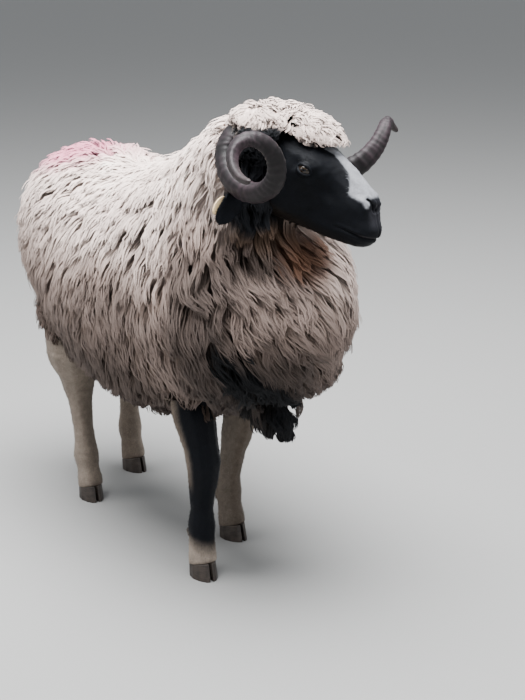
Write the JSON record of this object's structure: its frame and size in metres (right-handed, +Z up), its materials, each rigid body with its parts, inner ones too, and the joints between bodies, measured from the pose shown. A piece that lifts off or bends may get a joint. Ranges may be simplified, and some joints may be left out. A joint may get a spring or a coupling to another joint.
{
  "type": "horned sheep (ram), still life-size model",
  "caption": "Life-size standing ram in long hanging fleece, head turned to its left, with open coiled horns, woolly crown and blazed dark face.",
  "frame": {"origin": "on the floor under the middle of the bounding box", "axes": "+Z up, the ram stands along +X with its left side at +Y"},
  "size_m": [1.2104, 0.5148, 0.9208],
  "materials": {
    "wool": "long cream-white wool in pointed wavy staples, tan in the depth of the fleece",
    "dark_wool": "black hanging wool of the brisket",
    "face_hair": "short flat blue-black hair with a white blaze",
    "leg_hair": "short flat hair, black to pale tan",
    "horn": "ridged grey-brown horn",
    "hoof": "dull dark horn",
    "eye": "wet amber eye with a level slot pupil",
    "ear_tag": "blank cream-yellow tag"
  },
  "bodies": {
    "root": {"trunk": "wool", "neck": "wool", "crown": "wool", "head": "face_hair", "jaw": "face_hair", "horn_right": "horn", "ear_right": "face_hair", "eye_right": "eye", "horn_left": "horn", "ear_left": "face_hair", "eye_left": "eye", "ear_tag": "ear_tag", "tail": "wool", "brisket": "dark_wool", "pouch": "wool", "upper_leg_front_right": "leg_hair", "lower_leg_front_right": "leg_hair", "hoof_front_right": "hoof", "upper_leg_front_left": "leg_hair", "lower_leg_front_left": "leg_hair", "hoof_front_left": "hoof", "upper_leg_hind_right": "leg_hair", "lower_leg_hind_right": "leg_hair", "hoof_hind_right": "hoof", "upper_leg_hind_left": "leg_hair", "lower_leg_hind_left": "leg_hair", "hoof_hind_left": "hoof"}
  },
  "joints": []
}
